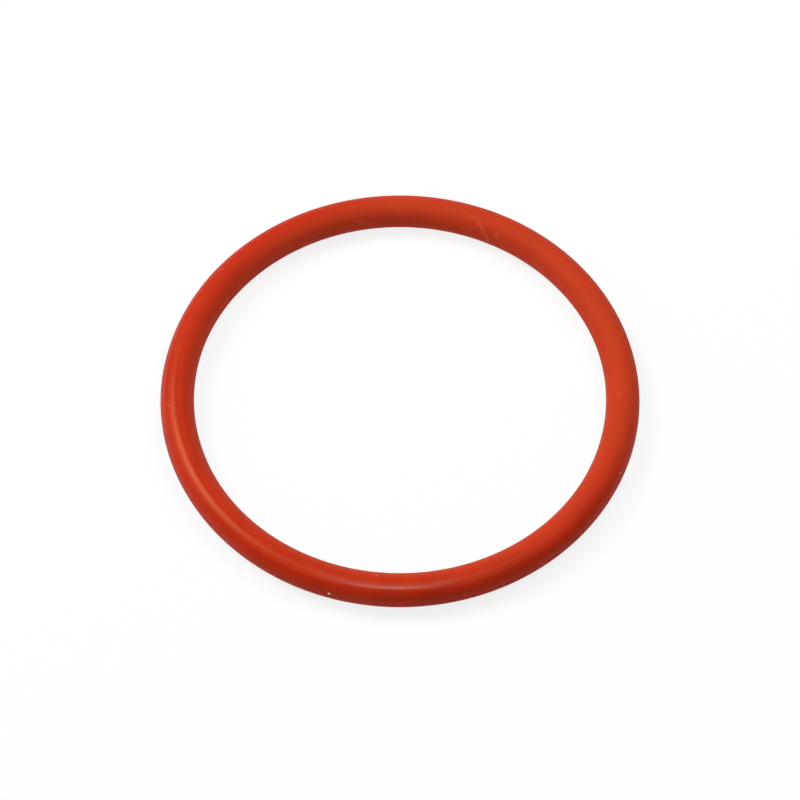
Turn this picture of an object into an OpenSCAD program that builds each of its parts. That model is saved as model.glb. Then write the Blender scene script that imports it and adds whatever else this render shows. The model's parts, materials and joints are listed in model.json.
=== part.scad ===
// O-ring gasket: one ring of red silicone rubber, moulded in one shot, with a round section.
// It lies flat. The origin is the ring's centre, in the plane where the two mould halves met.

/* [Ring] */
// Inside diameter, across the open hole
inside_d = 50; // [20:0.5:120]
// Diameter of the round section
section_d = 4; // [2:0.1:8]

/* [Mould line] */
// Height of the trimmed mould line, along the ring's axis
line_w = 0.2; // [0.1:0.05:0.6]
// How far the trimmed mould line stands proud of the round section
line_h = 0.04; // [0.02:0.01:0.15]

/* [Hidden] */
$fn = 128;
// Distance from the ring's axis to the middle of its section
centre_r = (inside_d + section_d) / 2;

// The moulded section: a full round, with the mould line's narrow land on both sides of it.
module moulded_section() {
    circle(d = section_d);
    square([section_d + 2 * line_h, line_w], center = true);
}

module o_ring() {
    color([0.80, 0.24, 0.15])
        rotate_extrude()
            translate([centre_r, 0])
                moulded_section();
}

o_ring();
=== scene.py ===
import json
import math
from collections import namedtuple

import bpy
from bpy.props import FloatProperty, FloatVectorProperty, IntProperty, PointerProperty
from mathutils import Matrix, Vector


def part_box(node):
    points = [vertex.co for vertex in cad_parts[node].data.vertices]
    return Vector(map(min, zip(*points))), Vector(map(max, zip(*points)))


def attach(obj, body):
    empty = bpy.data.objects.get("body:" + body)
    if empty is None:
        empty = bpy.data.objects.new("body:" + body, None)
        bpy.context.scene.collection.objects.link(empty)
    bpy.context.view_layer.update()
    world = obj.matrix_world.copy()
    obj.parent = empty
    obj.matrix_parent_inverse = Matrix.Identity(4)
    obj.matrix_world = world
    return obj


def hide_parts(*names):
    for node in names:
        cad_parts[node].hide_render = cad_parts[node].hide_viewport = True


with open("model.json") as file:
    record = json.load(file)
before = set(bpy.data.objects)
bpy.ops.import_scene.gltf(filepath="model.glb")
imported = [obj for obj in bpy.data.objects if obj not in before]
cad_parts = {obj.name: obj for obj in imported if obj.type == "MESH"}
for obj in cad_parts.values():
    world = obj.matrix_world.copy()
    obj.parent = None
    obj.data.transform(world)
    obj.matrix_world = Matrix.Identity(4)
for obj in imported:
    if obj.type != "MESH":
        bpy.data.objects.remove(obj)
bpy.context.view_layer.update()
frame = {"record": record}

bl_info = {
    "name": "Silicone O-ring gasket",
    "version": (1, 0, 0),
    "blender": (4, 5, 0),
    "location": "3D View > Sidebar > Gasket",
    "description": "Dresses a moulded silicone O-ring: its surface, the dust on it and a plain white stage",
    "category": "Add Mesh",
}

# The CAD box, and the ring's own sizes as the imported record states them
NODE = "o_ring"
MM = 0.001
MOUNTS = {mount["name"]: mount["dims"] for mount in frame["record"]["mounts"]}
INNER_LINE_R = MOUNTS["inside"]["r_mm"] * MM
OUTER_LINE_R = MOUNTS["outside"]["r_mm"] * MM
RING_LOW, RING_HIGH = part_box(NODE)
CENTRE_R = (INNER_LINE_R + OUTER_LINE_R) / 2
# The frame's mesh is a shade lower than the true round, so its height goes to the nearest 0.1 mm
SECTION_D = round(RING_HIGH.z - RING_LOW.z, 4)
LINE_W = MOUNTS["inside"]["length_mm"] * MM
LINE_H = (OUTER_LINE_R - INNER_LINE_R - SECTION_D) / 2

LINE_MARK = "mould_line"
WHITE = (1, 1, 1, 1)


# Properties


class RingSizes(bpy.types.PropertyGroup):
    """Sizes of the moulded ring."""

    centre_r: FloatProperty(
        name="Centre radius",
        description="From the ring's axis to the middle of its section",
        default=CENTRE_R, unit="LENGTH", precision=5,
    )
    section_d: FloatProperty(
        name="Section diameter",
        description="Diameter of the round section",
        default=SECTION_D, unit="LENGTH", precision=5,
    )
    line_w: FloatProperty(
        name="Mould line height",
        description="Height of the trimmed mould line along the ring's axis",
        default=LINE_W, unit="LENGTH", precision=5,
    )
    line_h: FloatProperty(
        name="Mould line depth",
        description="How far the trimmed mould line stands proud of the round section",
        default=LINE_H, unit="LENGTH", precision=5,
    )
    waviness: FloatProperty(
        name="Waviness",
        description="How far the soft moulding strays from a perfect round",
        default=0.012 * MM, unit="LENGTH", precision=6,
    )
    steps_around: IntProperty(
        name="Steps around",
        description="Mesh steps around the ring",
        default=720, min=48,
    )
    steps_arc: IntProperty(
        name="Steps on an arc",
        description="Mesh points on each half of the round section, between the two mould lines",
        default=46, min=8,
    )


class SiliconeFinish(bpy.types.PropertyGroup):
    """Colours and gloss of the silicone."""

    red: FloatVectorProperty(
        name="Red",
        description="The silicone's own colour",
        default=(0.545, 0.0266, 0.0066), size=3, subtype="COLOR", min=0, max=1,
    )
    deep_red: FloatVectorProperty(
        name="Deep red",
        description="The darker clouds in the moulded colour",
        default=(0.485, 0.0229, 0.0057), size=3, subtype="COLOR", min=0, max=1,
    )
    # Painted sheen: a paler red painted on the right, down the inside and along the front-left shoulder,
    # where the lamps' soft reflections lie
    painted_sheen: FloatVectorProperty(
        name="Bloom",
        description="The faint pale bloom that handling has not wiped away",
        default=(0.585, 0.061, 0.019), size=3, subtype="COLOR", min=0, max=1,
    )
    scuff: FloatVectorProperty(
        name="Scuff",
        description="Chafed silicone, where the surface is broken and pale",
        default=(0.62, 0.085, 0.045), size=3, subtype="COLOR", min=0, max=1,
    )
    sheen: FloatVectorProperty(
        name="Sheen",
        description="Tint of the skin's own soft reflections",
        default=(1.0, 0.55, 0.27), size=3, subtype="COLOR", min=0, max=1,
    )
    rubbed: FloatProperty(
        name="Rubbed roughness",
        description="Roughness where handling has rubbed the ring smooth",
        default=0.30, subtype="FACTOR", min=0, max=1,
    )
    burnished: FloatProperty(
        name="Burnished roughness",
        description="Roughness of the streaks at the front that rubbing has burnished",
        default=0.28, subtype="FACTOR", min=0, max=1,
    )
    matte: FloatProperty(
        name="Matte roughness",
        description="Roughness of the rest of the moulded skin",
        default=0.50, subtype="FACTOR", min=0, max=1,
    )


class DustFinish(bpy.types.PropertyGroup):
    """The dust that clings to the ring."""

    cream: FloatVectorProperty(
        name="Cream",
        description="Colour of the palest grains",
        default=(0.85, 0.72, 0.52), size=3, subtype="COLOR", min=0, max=1,
    )
    pink: FloatVectorProperty(
        name="Pink",
        description="Colour of the grains that take up the silicone's red",
        default=(0.74, 0.10, 0.05), size=3, subtype="COLOR", min=0, max=1,
    )
    seed: IntProperty(
        name="Seed",
        description="Seed for the grains' turns and stretches",
        default=7,
    )


class StageSettings(bpy.types.PropertyGroup):
    """The floor and the even light."""

    floor: FloatVectorProperty(
        name="Floor",
        description="Colour of the floor",
        default=(0.90, 0.90, 0.90), size=3, subtype="COLOR", min=0, max=1,
    )
    shown: FloatVectorProperty(
        name="Shown floor",
        description="Colour of the floor's own shading, where the camera or a reflection sees it",
        default=(0.97, 0.97, 0.97), size=3, subtype="COLOR", min=0, max=1,
    )
    shadow: FloatProperty(
        name="Shadow",
        description="How much of the floor's own shading the camera sees, against plain white",
        default=0.16, subtype="FACTOR", min=0, max=1,
    )
    mirrored: FloatProperty(
        name="Mirrored shadow",
        description="How much of the floor's own shading shows in the object's reflections",
        default=0.8, subtype="FACTOR", min=0, max=1,
    )
    fill: FloatProperty(
        name="Fill",
        description="Strength of the even light from all round",
        default=0.02, min=0,
    )


# Helpers


def add(tree, kind, inputs=None, **settings):
    """Adds a node. An input that is a socket is linked, and any other value is set."""
    node = tree.nodes.new(kind)
    for name, value in settings.items():
        setattr(node, name, value)
    for key, value in (inputs or {}).items():
        if isinstance(value, bpy.types.NodeSocket):
            tree.links.new(value, node.inputs[key])
        else:
            node.inputs[key].default_value = value
    return node


def maths(tree, operation, first, second=None, third=None):
    """One step of arithmetic, as a socket."""
    values = {i: v for i, v in enumerate((first, second, third)) if v is not None}
    return add(tree, "ShaderNodeMath", values, operation=operation).outputs[0]


def vector_maths(tree, operation, first, second=None, third=None, scale=None):
    """One step of vector arithmetic, as a socket."""
    values = {i: v for i, v in enumerate((first, second, third)) if v is not None}
    if scale is not None:
        values["Scale"] = scale
    node = add(tree, "ShaderNodeVectorMath", values, operation=operation)
    return node.outputs["Value" if operation in ("DOT_PRODUCT", "DISTANCE") else "Vector"]


def remap(tree, value, low, high, to_low=0.0, to_high=1.0):
    """A value taken smoothly from one range to another."""
    inputs = {"Value": value, "From Min": low, "From Max": high, "To Min": to_low, "To Max": to_high}
    return add(tree, "ShaderNodeMapRange", inputs, interpolation_type="SMOOTHSTEP").outputs[0]


def remap_degrees(tree, angle, low, high):
    """An angle taken smoothly from a range in degrees to the range from 0 to 1."""
    return remap(tree, angle, math.radians(low), math.radians(high))


def towards(tree, around, degrees):
    """How nearly an angle around the ring points one way: 1 right there, -1 across the ring from it."""
    return maths(tree, "COSINE", maths(tree, "SUBTRACT", around, math.radians(degrees)))


def noise(tree, place, scale, detail, output=0):
    """Noise at a place, as a socket. In a geometry tree, None stands for each point's own position."""
    inputs = {"Scale": scale, "Detail": detail}
    if place is not None:
        inputs["Vector"] = place
    return add(tree, "ShaderNodeTexNoise", inputs).outputs[output]


def mix_colour(tree, factor, first, second):
    """A mix of two colours, as a socket."""
    return add(tree, "ShaderNodeMix", {0: factor, 6: first, 7: second}, data_type="RGBA").outputs[2]


def rgba(colour):
    """A property's colour with full alpha."""
    return (*colour, 1.0)


def new_group(name, kind, inputs, outputs):
    """An empty node group with its sockets, and its input and output nodes."""
    tree = bpy.data.node_groups.new(name, kind)
    for label, socket in inputs:
        tree.interface.new_socket(name=label, in_out="INPUT", socket_type=socket)
    for label, socket in outputs:
        tree.interface.new_socket(name=label, in_out="OUTPUT", socket_type=socket)
    return tree, tree.nodes.new("NodeGroupInput"), tree.nodes.new("NodeGroupOutput")


def new_material(name):
    """A material with nothing in its node tree, and that tree."""
    material = bpy.data.materials.new(name)
    material.use_nodes = True
    material.node_tree.nodes.clear()
    return material, material.node_tree


def linked(name, data):
    """A new object for some data, linked into the scene."""
    thing = bpy.data.objects.new(name, data)
    bpy.context.scene.collection.objects.link(thing)
    return thing


def grown_mesh(name, tree, values, start=None):
    """The plain mesh object that a geometry tree makes, with its place in its mesh."""
    made = linked(name + "_grown", start or bpy.data.meshes.new(name + "_start"))
    modifier = made.modifiers.new("Shape", "NODES")
    modifier.node_group = tree
    for item in tree.interface.items_tree:
        if item.in_out == "INPUT" and item.name in values:
            modifier[item.identifier] = values[item.name]
    graph = bpy.context.evaluated_depsgraph_get()
    mesh = bpy.data.meshes.new_from_object(made.evaluated_get(graph))
    made.modifiers.remove(modifier)
    bpy.data.objects.remove(made)
    if not mesh.polygons:
        raise RuntimeError(f"{name}: the geometry tree made no faces")
    mesh.name = name
    # Slots that no material fills are dropped
    for slot in reversed(range(len(mesh.materials))):
        if mesh.materials[slot] is None:
            mesh.materials.pop(index=slot)
    return linked(name, mesh)


def on_ring(sizes, around, over, lift=0.0):
    """A point on the ring: degrees around it from +X, and degrees over the section from its outside."""
    phi, turn = math.radians(around), math.radians(over)
    out = sizes.section_d / 2 + lift
    reach = sizes.centre_r + out * math.cos(turn)
    return Vector((reach * math.cos(phi), reach * math.sin(phi), out * math.sin(turn)))


# The ring


def section_points(tree, inputs):
    """The moulded section as a closed curve: two arcs, with the mould line's land between their ends.

    The points of one half are worked out from their index, and the other half is the first one
    turned over.
    """
    land_points = 2
    per_half = maths(tree, "ADD", inputs["Steps On Arc"], land_points)
    points = maths(tree, "MULTIPLY", per_half, 2)
    circle = add(tree, "GeometryNodeCurvePrimitiveCircle", {"Resolution": points}).outputs["Curve"]
    index = add(tree, "GeometryNodeInputIndex").outputs[0]
    half = maths(tree, "FLOOR", maths(tree, "DIVIDE", maths(tree, "ADD", index, 0.5), per_half))
    step = maths(tree, "SUBTRACT", index, maths(tree, "MULTIPLY", half, per_half))
    radius = maths(tree, "DIVIDE", inputs["Section Diameter"], 2)
    on_land = maths(tree, "LESS_THAN", step, land_points - 0.5)

    # Where the arc leaves the land, and how far along the arc the point lies
    edge = maths(tree, "ARCSINE", maths(tree, "DIVIDE", inputs["Line Height"], inputs["Section Diameter"]))
    span = maths(tree, "SUBTRACT", math.pi, maths(tree, "MULTIPLY", edge, 2))
    arc_step = maths(tree, "SUBTRACT", step, land_points)
    share = maths(tree, "DIVIDE", arc_step, maths(tree, "SUBTRACT", inputs["Steps On Arc"], 1))
    angle = maths(tree, "MULTIPLY_ADD", share, span, edge)
    arc_x = maths(tree, "MULTIPLY", radius, maths(tree, "COSINE", angle))
    arc_y = maths(tree, "MULTIPLY", radius, maths(tree, "SINE", angle))
    land_x = maths(tree, "ADD", radius, inputs["Line Depth"])
    land_y = maths(tree, "MULTIPLY", maths(tree, "SUBTRACT", step, 0.5), inputs["Line Height"])

    def either(arc, land):
        values = {"Switch": on_land, "False": arc, "True": land}
        return add(tree, "GeometryNodeSwitch", values, input_type="FLOAT").outputs[0]

    turned = maths(tree, "MULTIPLY_ADD", half, -2, 1)
    x = maths(tree, "MULTIPLY", either(arc_x, land_x), turned)
    y = maths(tree, "MULTIPLY", either(arc_y, land_y), turned)
    place = add(tree, "ShaderNodeCombineXYZ", {"X": x, "Y": y}).outputs[0]
    moved = add(tree, "GeometryNodeSetPosition", {"Geometry": circle, "Position": place})
    marked = add(
        tree, "GeometryNodeStoreNamedAttribute",
        {"Geometry": moved.outputs[0], "Name": LINE_MARK, "Value": on_land},
        data_type="FLOAT", domain="POINT",
    )
    return marked.outputs[0]


def ring_tree():
    """Geometry nodes that sweep the moulded section round the ring's centre line."""
    wave_scale, ragged_scale, ragged_share, sharp_angle = 90.0, 900.0, 0.7, math.radians(35)
    tree, start, end = new_group(
        "moulded_ring", "GeometryNodeTree",
        (
            ("Centre Radius", "NodeSocketFloat"), ("Section Diameter", "NodeSocketFloat"),
            ("Line Height", "NodeSocketFloat"), ("Line Depth", "NodeSocketFloat"),
            ("Waviness", "NodeSocketFloat"), ("Steps Around", "NodeSocketInt"),
            ("Steps On Arc", "NodeSocketInt"), ("Material", "NodeSocketMaterial"),
        ),
        (("Geometry", "NodeSocketGeometry"),),
    )
    inputs = start.outputs
    path = add(
        tree, "GeometryNodeCurvePrimitiveCircle",
        {"Resolution": inputs["Steps Around"], "Radius": inputs["Centre Radius"]},
    )
    upright = add(tree, "GeometryNodeSetCurveNormal", {"Curve": path.outputs["Curve"]}, mode="Z_UP")
    swept = add(
        tree, "GeometryNodeCurveToMesh",
        {"Curve": upright.outputs[0], "Profile Curve": section_points(tree, inputs)},
    )

    # Soft waviness all over, and a ragged edge on the trimmed mould line
    normal = add(tree, "GeometryNodeInputNormal").outputs[0]
    wave = noise(tree, None, wave_scale, detail=1.0)
    ragged = noise(tree, None, ragged_scale, detail=2.0)
    line = add(
        tree, "GeometryNodeInputNamedAttribute", {"Name": LINE_MARK}, data_type="FLOAT"
    ).outputs[0]
    swell = maths(tree, "MULTIPLY", maths(tree, "MULTIPLY_ADD", wave, 2, -1), inputs["Waviness"])
    trim = maths(tree, "MULTIPLY", maths(tree, "MULTIPLY", ragged, line), inputs["Line Depth"])
    stray = maths(tree, "MULTIPLY_ADD", trim, -ragged_share, swell)
    offset = vector_maths(tree, "SCALE", normal, scale=stray)
    shaped = add(tree, "GeometryNodeSetPosition", {"Geometry": swept.outputs[0], "Offset": offset})

    # Smooth all over, with the mould line's own edges kept crisp
    smooth = add(tree, "GeometryNodeSetShadeSmooth", {"Geometry": shaped.outputs[0]}, domain="FACE")
    bend = add(tree, "GeometryNodeInputMeshEdgeAngle").outputs["Unsigned Angle"]
    bent = maths(tree, "GREATER_THAN", bend, sharp_angle)
    crisp = add(
        tree, "GeometryNodeSetShadeSmooth",
        {"Geometry": smooth.outputs[0], "Selection": bent, "Shade Smooth": False},
        domain="EDGE",
    )
    real = add(tree, "GeometryNodeRealizeInstances", {"Geometry": crisp.outputs[0]})
    done = add(
        tree, "GeometryNodeSetMaterial", {"Geometry": real.outputs[0], "Material": inputs["Material"]}
    )
    tree.links.new(done.outputs[0], end.inputs["Geometry"])
    return tree


def bake_strips(mesh, sizes, strips=4, margin=0.02):
    """Lays the ring's skin out flat for baking, cut across into strips that lie one above another."""
    half_turn = 0.5
    turns = []
    for vertex in mesh.vertices:
        x, y, z = vertex.co
        around = math.atan2(y, x) / math.tau % 1.0
        over = math.atan2(z, math.hypot(x, y) - sizes.centre_r) / math.tau % 1.0
        turns.append((around, over))
    layer = mesh.uv_layers.new(name="OFBake")
    for face in mesh.polygons:
        corners = [turns[i] for i in face.vertices]
        # On the last face of a turn, the corners that begin the next turn count on from it
        spans = [max(values) - min(values) > half_turn for values in zip(*corners)]
        corners = [
            [v + 1 if wraps and v < half_turn else v for v, wraps in zip(corner, spans)]
            for corner in corners
        ]
        strip = int(sum(around for around, _ in corners) / len(corners) * strips)
        for loop, (around, over) in zip(face.loop_indices, corners):
            across = margin + (around * strips - strip) * (1 - 2 * margin)
            up = (strip + margin + over * (1 - 2 * margin)) / strips
            layer.uv[loop].vector = (across, up)


# The silicone's material


def ring_angles_group():
    """Shader group: the place on the ring, as the angle around it and the angle over its section."""
    tree, start, end = new_group(
        "ring_angles", "ShaderNodeTree",
        (("Position", "NodeSocketVector"), ("Centre Radius", "NodeSocketFloat")),
        (("Around", "NodeSocketFloat"), ("Over", "NodeSocketFloat")),
    )
    part = add(tree, "ShaderNodeSeparateXYZ", {0: start.outputs["Position"]}).outputs
    squares = maths(tree, "ADD", maths(tree, "POWER", part["X"], 2), maths(tree, "POWER", part["Y"], 2))
    reach = maths(tree, "SUBTRACT", maths(tree, "SQRT", squares), start.outputs["Centre Radius"])
    tree.links.new(maths(tree, "ARCTAN2", part["Y"], part["X"]), end.inputs["Around"])
    tree.links.new(maths(tree, "ARCTAN2", part["Z"], reach), end.inputs["Over"])
    return tree


def stroke_group():
    """Shader group: a mask along a short stroke from one point to another, which fades to its edge."""
    tree, start, end = new_group(
        "scuff_stroke", "ShaderNodeTree",
        (
            ("Position", "NodeSocketVector"), ("Start", "NodeSocketVector"),
            ("End", "NodeSocketVector"), ("Width", "NodeSocketFloat"),
        ),
        (("Mask", "NodeSocketFloat"),),
    )
    inputs = start.outputs
    run = vector_maths(tree, "SUBTRACT", inputs["End"], inputs["Start"])
    away = vector_maths(tree, "SUBTRACT", inputs["Position"], inputs["Start"])
    dot = vector_maths(tree, "DOT_PRODUCT", away, run)
    long = vector_maths(tree, "DOT_PRODUCT", run, run)
    share = add(tree, "ShaderNodeClamp", {0: maths(tree, "DIVIDE", dot, long)}).outputs[0]
    nearest = vector_maths(tree, "SCALE", run, scale=share)
    gap = vector_maths(tree, "DISTANCE", away, nearest)
    half = maths(tree, "MULTIPLY", inputs["Width"], 0.5)
    tree.links.new(remap(tree, gap, half, 0.0), end.inputs["Mask"])
    return tree


SCUFF_STROKES = (
    # degrees around and over at the start, the same at the end, the width in millimetres, and the strength
    (70.1, 106.3, 69.2, 106.3, 0.34, 0.85),
    (68.9, 113.1, 67.7, 112.7, 0.24, 1.00),
    (68.3, 123.9, 67.5, 122.1, 0.16, 0.60),
    (67.3, 125.7, 65.9, 138.7, 0.34, 1.00),
    (66.2, 150.1, 65.0, 156.1, 0.28, 0.85),
    (65.0, 156.1, 63.9, 176.4, 0.32, 1.35),
    (62.1, 143.1, 61.7, 142.9, 0.55, 0.70),
    (102.1, 147.0, 98.7, 168.5, 0.38, 0.80),
    (142.9, 60.0, 142.3, 69.0, 0.38, 0.65),
)

# Where a point of the skin lies: its position, its angles around the ring and over the section, the
# angle between it and the outer shoulder, and a mask of the ring's right side
Skin = namedtuple("Skin", "position around over off_shoulder right")


def skin_places(tree, sizes):
    """The sockets that the skin's colours and gloss are placed by."""
    shoulder, right_side, right_fade = 71, 41, (0.15, 0.75)
    position = add(tree, "ShaderNodeTexCoord").outputs["Object"]
    angles = add(
        tree, "ShaderNodeGroup", {"Position": position, "Centre Radius": sizes.centre_r},
        node_tree=ring_angles_group(),
    ).outputs
    around, over = angles["Around"], angles["Over"]
    off_shoulder = maths(tree, "ABSOLUTE", maths(tree, "SUBTRACT", over, math.radians(shoulder)))
    right = remap(tree, towards(tree, around, right_side), *right_fade)
    return Skin(position, around, over, off_shoulder, right)


def clouded_red(tree, skin, finish):
    """The moulded colour: soft clouds of a deeper red, and fine specks of it."""
    cloud_scale, cloud_fade = 260.0, (0.35, 0.7)
    speck_scale, speck_fade, speck_share = 5200.0, (0.45, 0.8), 0.35
    clouds = remap(tree, noise(tree, skin.position, cloud_scale, detail=3.0), *cloud_fade)
    fine = noise(tree, skin.position, speck_scale, detail=2.0)
    specks = remap(tree, fine, *speck_fade, to_high=speck_share)
    clouded = mix_colour(tree, clouds, rgba(finish.red), rgba(finish.deep_red))
    return mix_colour(tree, specks, clouded, rgba(finish.deep_red))


def painted_sheen_mask(tree, skin):
    """How thickly the painted sheen lies: a paler red that stands in for the lamps' soft reflections."""
    front_right, back_left, front_left = 330, 165, 235
    back_fade, left_fade = (0.75, 0.95), (0.1, 0.65)
    inside_fade, shoulder_fade = (95, 130), (20, 8)
    higher, lower = math.radians(14), math.radians(-16)
    shoulder_share, thickest = 0.65, 0.45

    # The painted sheen lies on the right and down the inside, where it starts higher up at the front right
    # than behind
    ahead = maths(tree, "MAXIMUM", towards(tree, skin.around, front_right), 0.0)
    behind = remap(tree, towards(tree, skin.around, back_left), *back_fade)
    shift = maths(tree, "MULTIPLY_ADD", behind, lower, maths(tree, "MULTIPLY", ahead, higher))
    inside = remap_degrees(tree, maths(tree, "ADD", skin.over, shift), *inside_fade)
    sheen_cover = maths(tree, "MAXIMUM", skin.right, inside)

    # At about two thirds strength it also lies along the left and front shoulder, beside the highlights
    left = remap(tree, towards(tree, skin.around, front_left), *left_fade)
    shoulder_band = maths(tree, "MULTIPLY", left, remap_degrees(tree, skin.off_shoulder, *shoulder_fade))
    sheen_cover = maths(tree, "MAXIMUM", sheen_cover, maths(tree, "MULTIPLY", shoulder_band, shoulder_share))
    return maths(tree, "MULTIPLY", sheen_cover, thickest)


def scuff_mask(tree, skin, sizes):
    """The scuff strokes, with their edges shaken and the whole broken up by noise."""
    shake_scale, shake = 2600.0, 0.3 * MM
    break_scale, break_fade, break_least = 3800.0, (0.3, 0.6), 0.35
    jitter = noise(tree, skin.position, shake_scale, detail=2.0, output="Color")
    shaken = vector_maths(tree, "SUBTRACT", jitter, (0.5, 0.5, 0.5))
    strayed = vector_maths(tree, "MULTIPLY_ADD", shaken, (shake, shake, shake), skin.position)
    group = stroke_group()
    scuffed = None
    for from_around, from_over, to_around, to_over, width, strength in SCUFF_STROKES:
        # The mask fades to its edge, so it is twice as wide as the stroke looks
        values = {
            "Position": strayed, "Start": on_ring(sizes, from_around, from_over),
            "End": on_ring(sizes, to_around, to_over), "Width": width * MM * 2,
        }
        stroke = add(tree, "ShaderNodeGroup", values, node_tree=group)
        mask = maths(tree, "MULTIPLY", stroke.outputs["Mask"], strength)
        scuffed = mask if scuffed is None else maths(tree, "MAXIMUM", scuffed, mask)
    broken = noise(tree, skin.position, break_scale, detail=3.0)
    return maths(tree, "MULTIPLY", scuffed, remap(tree, broken, *break_fade, to_low=break_least))


def skin_roughness(tree, skin, scuff, finish):
    """The skin's roughness.

    The outer shoulder is rubbed smooth on the left, and the rest is matte, most so on the right and
    inside.
    """
    left_side, left_fade, shoulder_fade, inside_fade = 207, (0.60, 0.90), (46, 22), (84, 108)
    patch_scale, patch_fade, patch_least = 420.0, (0.25, 0.55), 0.8
    scuff_share, dull_share = 0.25, 0.12
    left = remap(tree, towards(tree, skin.around, left_side), *left_fade)
    rubbed = maths(tree, "MULTIPLY", left, remap_degrees(tree, skin.off_shoulder, *shoulder_fade))
    patchy = noise(tree, skin.position, patch_scale, detail=4.0)
    gloss = maths(tree, "MULTIPLY", rubbed, remap(tree, patchy, *patch_fade, to_low=patch_least))
    rough = add(
        tree, "ShaderNodeMapRange", {"Value": gloss, "To Min": finish.matte, "To Max": finish.rubbed}
    ).outputs[0]
    rough = maths(tree, "ADD", rough, maths(tree, "MULTIPLY", scuff, scuff_share))
    dull = maths(tree, "MAXIMUM", skin.right, remap_degrees(tree, skin.over, *inside_fade))
    return maths(tree, "MULTIPLY_ADD", dull, dull_share, rough)


def turning_marks(tree, skin):
    """The mould's turning marks, which run round the ring, and the place that their noise is read at."""
    over_scale, around_scale = 26.0, 160.0
    part = add(tree, "ShaderNodeSeparateXYZ", {0: skin.position}).outputs
    along = add(
        tree, "ShaderNodeCombineXYZ",
        {"X": maths(tree, "MULTIPLY", skin.over, over_scale),
         "Y": maths(tree, "MULTIPLY", part["X"], around_scale),
         "Z": maths(tree, "MULTIPLY", part["Y"], around_scale)},
    ).outputs[0]
    return noise(tree, along, scale=1.0, detail=2.0), along


def relief(tree, skin, turning, scuff):
    """The normal of the fine relief: the turning marks, the mould's matte grain and the scuffs."""
    turning_share, grain_share, scuff_share, grain_scale = 0.35, 0.25, 1.2, 9000.0
    strength, depth = 0.25, 0.01 * MM
    grain = maths(tree, "MULTIPLY", noise(tree, skin.position, grain_scale, detail=2.0), grain_share)
    height = maths(tree, "ADD", maths(tree, "MULTIPLY", turning, turning_share), grain)
    height = maths(tree, "MULTIPLY_ADD", scuff, scuff_share, height)
    bump = add(tree, "ShaderNodeBump", {"Strength": strength, "Distance": depth, "Height": height})
    return bump.outputs[0]


def burnish_mask(tree, skin, turning, along):
    """Where rubbing has burnished the shoulder at the front, in streaks along the turning marks."""
    front, front_fade, shoulder_fade = 267, (0.935, 0.985), (12, 5)
    streak_scale, streak_fade = (1.0, 4.0, 4.0), (0.35, 0.6)
    mark_least, streak_least = 0.75, 0.65
    facing = remap(tree, towards(tree, skin.around, front), *front_fade)
    band = maths(tree, "MULTIPLY", facing, remap_degrees(tree, skin.off_shoulder, *shoulder_fade))
    marked = maths(tree, "MULTIPLY", band, remap(tree, turning, *streak_fade, to_low=mark_least))
    shorter = vector_maths(tree, "MULTIPLY", along, streak_scale)
    streaks = noise(tree, shorter, scale=1.0, detail=1.0)
    return maths(tree, "MULTIPLY", marked, remap(tree, streaks, *streak_fade, to_low=streak_least))


def silicone_material(sizes, finish):
    """Moulded silicone: clouded red under a painted pale sheen, with a matte skin rubbed smoother, and
    scuffs.
    """
    silicone_ior, specular_level = 1.41, 0.3
    material, tree = new_material("moulded_silicone")
    skin = skin_places(tree, sizes)
    red = clouded_red(tree, skin, finish)
    # A paler red is painted where the lamps' soft sheen lies
    sheen_painted_red = mix_colour(tree, painted_sheen_mask(tree, skin), red, rgba(finish.painted_sheen))
    scuff = scuff_mask(tree, skin, sizes)
    turning, along = turning_marks(tree, skin)
    shader = add(
        tree, "ShaderNodeBsdfPrincipled",
        {"Base Color": mix_colour(tree, scuff, sheen_painted_red, rgba(finish.scuff)),
         "Roughness": skin_roughness(tree, skin, scuff, finish),
         "IOR": silicone_ior, "Normal": relief(tree, skin, turning, scuff),
         "Specular IOR Level": specular_level, "Specular Tint": rgba(finish.sheen),
         "Coat Weight": burnish_mask(tree, skin, turning, along), "Coat Roughness": finish.burnished},
    )
    output = add(tree, "ShaderNodeOutputMaterial", {"Surface": shader.outputs[0]})
    output.is_active_output = True
    return material


class GASKET_OT_ring(bpy.types.Operator):
    """Make the moulded ring, which stands for the CAD ring"""

    bl_idname = "gasket.ring"
    bl_label = "Moulded ring"

    def execute(self, context):
        sizes = context.scene.gasket_ring
        values = {
            "Centre Radius": sizes.centre_r, "Section Diameter": sizes.section_d,
            "Line Height": sizes.line_w, "Line Depth": sizes.line_h, "Waviness": sizes.waviness,
            "Steps Around": sizes.steps_around, "Steps On Arc": sizes.steps_arc,
            "Material": silicone_material(sizes, context.scene.gasket_silicone),
        }
        ring = grown_mesh("ring", ring_tree(), values)
        bake_strips(ring.data, sizes)
        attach(ring, "root")
        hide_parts(NODE)
        return {"FINISHED"}


# The dust

GRAINS = (
    # degrees around and over, size in millimetres, and how pale from 0, pink, to 1, cream
    (253.4, 14.1, 0.34, 1.00),
    (357.5, 108.3, 0.20, 0.13),
    (185.7, 61.2, 0.19, 0.14),
    (201.1, 75.7, 0.15, 0.04),
    (335.8, 31.7, 0.18, 0.50),
    (235.6, 93.8, 0.18, 0.03),
    (264.1, 115.3, 0.15, 0.50),
    (294.9, 16.6, 0.18, 0.25),
    (343.5, 114.8, 0.15, 0.03),
    (313.3, 80.2, 0.12, 0.04),
    (247.0, 32.7, 0.13, 0.05),
    (307.9, 112.8, 0.10, 0.10),
    (227.7, 48.0, 0.11, 0.00),
)


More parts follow.
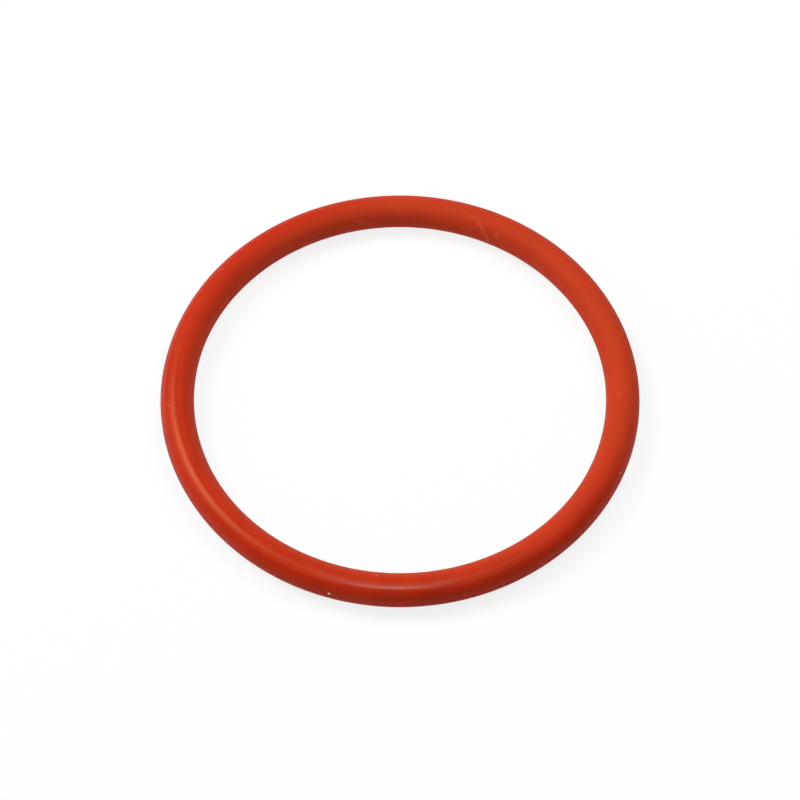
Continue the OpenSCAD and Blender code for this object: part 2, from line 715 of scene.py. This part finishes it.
def dust_tree():
    """Geometry nodes that set a lumpy grain on each point, turned at random."""
    grain_r, subdivisions, lump_scale, lump_depth, full_turn = 0.5, 3, 2.2, 0.6, 6.28
    least_stretch, most_stretch = (0.7, 0.8, 0.6), (1.3, 1.2, 1.0)
    turn_draw, stretch_draw = 0, 1
    tree, start, end = new_group(
        "dust_grains", "GeometryNodeTree",
        (("Geometry", "NodeSocketGeometry"), ("Seed", "NodeSocketInt"), ("Material", "NodeSocketMaterial")),
        (("Geometry", "NodeSocketGeometry"),),
    )
    inputs = start.outputs
    ball = add(tree, "GeometryNodeMeshIcoSphere", {"Radius": grain_r, "Subdivisions": subdivisions})
    rise = noise(tree, None, lump_scale, detail=2.0)
    lump = maths(tree, "MULTIPLY_ADD", rise, lump_depth, -lump_depth / 2)
    normal = add(tree, "GeometryNodeInputNormal").outputs[0]
    push = vector_maths(tree, "SCALE", normal, scale=lump)
    lumpy = add(tree, "GeometryNodeSetPosition", {"Geometry": ball.outputs["Mesh"], "Offset": push})
    smooth = add(tree, "GeometryNodeSetShadeSmooth", {"Geometry": lumpy.outputs[0]})

    def random_vector(low, high, draw):
        return add(
            tree, "FunctionNodeRandomValue",
            {0: low, 1: high, "Seed": maths(tree, "ADD", inputs["Seed"], draw)}, data_type="FLOAT_VECTOR",
        ).outputs[0]

    size = add(tree, "GeometryNodeInputNamedAttribute", {"Name": "size"}, data_type="FLOAT").outputs[0]
    stretch = random_vector(least_stretch, most_stretch, stretch_draw)
    placed = add(
        tree, "GeometryNodeInstanceOnPoints",
        {"Points": inputs["Geometry"], "Instance": smooth.outputs[0],
         "Rotation": random_vector((0, 0, 0), (full_turn, full_turn, full_turn), turn_draw),
         "Scale": vector_maths(tree, "SCALE", stretch, scale=size)},
    )
    real = add(tree, "GeometryNodeRealizeInstances", {"Geometry": placed.outputs[0]})
    done = add(
        tree, "GeometryNodeSetMaterial", {"Geometry": real.outputs[0], "Material": inputs["Material"]}
    )
    tree.links.new(done.outputs[0], end.inputs["Geometry"])
    return tree


def dust_material(finish):
    """Dry, pale dust, pinker where it takes up the silicone's colour."""
    mottle_scale, mottle, dry = 16000.0, 0.5, 0.85
    material, tree = new_material("clinging_dust")
    pale = add(tree, "ShaderNodeAttribute", attribute_name="pale").outputs["Fac"]
    position = add(tree, "ShaderNodeTexCoord").outputs["Object"]
    fine = maths(tree, "SUBTRACT", noise(tree, position, mottle_scale, detail=2.0), 0.5)
    shade = maths(tree, "MULTIPLY_ADD", fine, mottle, pale)
    colour = mix_colour(tree, shade, rgba(finish.pink), rgba(finish.cream))
    shader = add(tree, "ShaderNodeBsdfPrincipled", {"Base Color": colour, "Roughness": dry})
    add(tree, "ShaderNodeOutputMaterial", {"Surface": shader.outputs[0]})
    return material


class GASKET_OT_dust(bpy.types.Operator):
    """Set the dust grains where they cling to the ring"""

    bl_idname = "gasket.dust"
    bl_label = "Clinging dust"

    def execute(self, context):
        sizes, finish = context.scene.gasket_ring, context.scene.gasket_dust
        points = bpy.data.meshes.new("dust_places")
        # The middle of each grain lies under the skin by this share of the grain's size
        sunk = 0.12
        places = [on_ring(sizes, around, over, -sunk * size * MM) for around, over, size, _ in GRAINS]
        points.from_pydata(places, [], [])
        grain_sizes = [size * MM for _, _, size, _ in GRAINS]
        grain_shades = [pale for _, _, _, pale in GRAINS]
        for name, numbers in (("size", grain_sizes), ("pale", grain_shades)):
            points.attributes.new(name, "FLOAT", "POINT").data.foreach_set("value", numbers)
        values = {"Seed": finish.seed, "Material": dust_material(finish)}
        dust = grown_mesh("dust", dust_tree(), values, points)
        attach(dust, "root")
        return {"FINISHED"}


# The stage

LAMPS = (
    # name, degrees around from +X and up from the floor, distance and width in metres, and watts
    ("key", 153, 54, 0.65, 0.31, 2.82),
    ("line", 263, 73, 0.46, 0.064, 0.215),
    ("soft_left", 170, 25, 1.00, 0.64, 1.20),
    ("soft_right", 45, 62, 0.42, 0.30, 0.73),
)


def floor_material(stage):
    """A white floor, which the camera and reflections see near plain white, with a share of its shading."""
    material, tree = new_material("white_floor")
    path = add(tree, "ShaderNodeLightPath").outputs
    seen = maths(tree, "MAXIMUM", path["Is Camera Ray"], path["Is Glossy Ray"])
    seen = maths(tree, "MAXIMUM", seen, path["Is Transmission Ray"])
    matte = add(tree, "ShaderNodeBsdfDiffuse", {"Color": rgba(stage.floor)})
    shaded = add(tree, "ShaderNodeBsdfDiffuse", {"Color": rgba(stage.shown)})
    white = add(tree, "ShaderNodeEmission", {"Color": WHITE, "Strength": 1.0})
    share = maths(
        tree, "MULTIPLY_ADD", path["Is Camera Ray"], stage.shadow - stage.mirrored, stage.mirrored
    )
    shown = add(tree, "ShaderNodeMixShader", {0: share, 1: white.outputs[0], 2: shaded.outputs[0]})
    either = add(tree, "ShaderNodeMixShader", {0: seen, 1: matte.outputs[0], 2: shown.outputs[0]})
    add(tree, "ShaderNodeOutputMaterial", {"Surface": either.outputs[0]})
    return material


def floor_mesh(low):
    """A round floor whose rim sweeps up into a backdrop, turned about the ring's axis."""
    flat_r, sweep_r, wall_h, sides, steps = 1.2, 0.5, 0.4, 96, 12
    angles = [math.pi / 2 * i / steps for i in range(steps + 1)]
    outline = [(flat_r + sweep_r * math.sin(a), sweep_r * (1 - math.cos(a))) for a in angles]
    outline.append((flat_r + sweep_r, sweep_r + wall_h))
    points = [(0.0, 0.0, low)]
    for reach, height in outline:
        for side in range(sides):
            turn = math.tau * side / sides
            points.append((reach * math.cos(turn), reach * math.sin(turn), low + height))
    faces = [(0, 1 + side, 1 + (side + 1) % sides) for side in range(sides)]
    for row in range(len(outline) - 1):
        first, second = 1 + row * sides, 1 + (row + 1) * sides
        for side in range(sides):
            following = (side + 1) % sides
            faces.append((first + side, second + side, second + following, first + following))
    mesh = bpy.data.meshes.new("floor")
    mesh.from_pydata(points, [], faces)
    mesh.polygons.foreach_set("use_smooth", [True] * len(faces))
    return mesh


def aim(thing, place, target):
    """Puts a lamp or camera at a place, looking at a target."""
    thing.location = place
    thing.rotation_euler = (Vector(target) - Vector(place)).to_track_quat("-Z", "Y").to_euler()


def add_lamp(name, azimuth, elevation, distance, wide, watts):
    """A round lamp that looks at the middle of the ring."""
    data = bpy.data.lights.new(name, "AREA")
    data.shape = "DISK"
    data.size, data.energy = wide, watts
    turn, rise = math.radians(azimuth), math.radians(elevation)
    way = Vector((math.cos(turn) * math.cos(rise), math.sin(turn) * math.cos(rise), math.sin(rise)))
    aim(linked(name, data), way * distance, (0, 0, 0))


def add_camera():
    """The photograph's view: a long lens, well above the ring."""
    distance, elevation, lens, look = 0.3814, math.radians(58.2), 141.5, -0.9 * MM
    sensor, nearest = 36.0, 0.01
    data = bpy.data.cameras.new("camera")
    data.lens, data.sensor_width, data.clip_start = lens, sensor, nearest
    camera = linked("camera", data)
    aim(camera, (0, -distance * math.cos(elevation), distance * math.sin(elevation)), (0, look, 0))
    return camera


class GASKET_OT_stage(bpy.types.Operator):
    """Make the floor, the lamps, the world and the camera"""

    bl_idname = "gasket.stage"
    bl_label = "White stage"

    def execute(self, context):
        scene, stage = context.scene, context.scene.gasket_stage
        floor = linked("floor", floor_mesh(-scene.gasket_ring.section_d / 2))
        floor.data.materials.append(floor_material(stage))
        for lamp in LAMPS:
            add_lamp(*lamp)
        scene.world = bpy.data.worlds.new("even_light")
        scene.world.use_nodes = True
        background = scene.world.node_tree.nodes["Background"]
        background.inputs["Color"].default_value = WHITE
        background.inputs["Strength"].default_value = stage.fill
        scene.view_settings.view_transform = "Standard"
        scene.camera = add_camera()
        return {"FINISHED"}


class GASKET_PT_panel(bpy.types.Panel):
    """The gasket's pieces and their settings"""

    bl_idname = "GASKET_PT_panel"
    bl_label = "Gasket"
    bl_space_type = "VIEW_3D"
    bl_region_type = "UI"
    bl_category = "Gasket"

    def draw(self, context):
        for operator, group in (
            (GASKET_OT_ring, "gasket_ring"), (None, "gasket_silicone"),
            (GASKET_OT_dust, "gasket_dust"), (GASKET_OT_stage, "gasket_stage"),
        ):
            box = self.layout.box()
            if operator:
                box.operator(operator.bl_idname)
            settings = getattr(context.scene, group)
            for name in settings.__annotations__:
                box.prop(settings, name)


GROUPS = {
    "gasket_ring": RingSizes, "gasket_silicone": SiliconeFinish,
    "gasket_dust": DustFinish, "gasket_stage": StageSettings,
}
CLASSES = (*GROUPS.values(), GASKET_OT_ring, GASKET_OT_dust, GASKET_OT_stage, GASKET_PT_panel)


def register():
    for kind in CLASSES:
        bpy.utils.register_class(kind)
    for name, group in GROUPS.items():
        setattr(bpy.types.Scene, name, PointerProperty(type=group))


def unregister():
    for name in GROUPS:
        delattr(bpy.types.Scene, name)
    for kind in reversed(CLASSES):
        bpy.utils.unregister_class(kind)


def main():
    register()
    bpy.ops.gasket.stage()
    bpy.ops.gasket.ring()
    bpy.ops.gasket.dust()


if __name__ == "__main__":
    main()
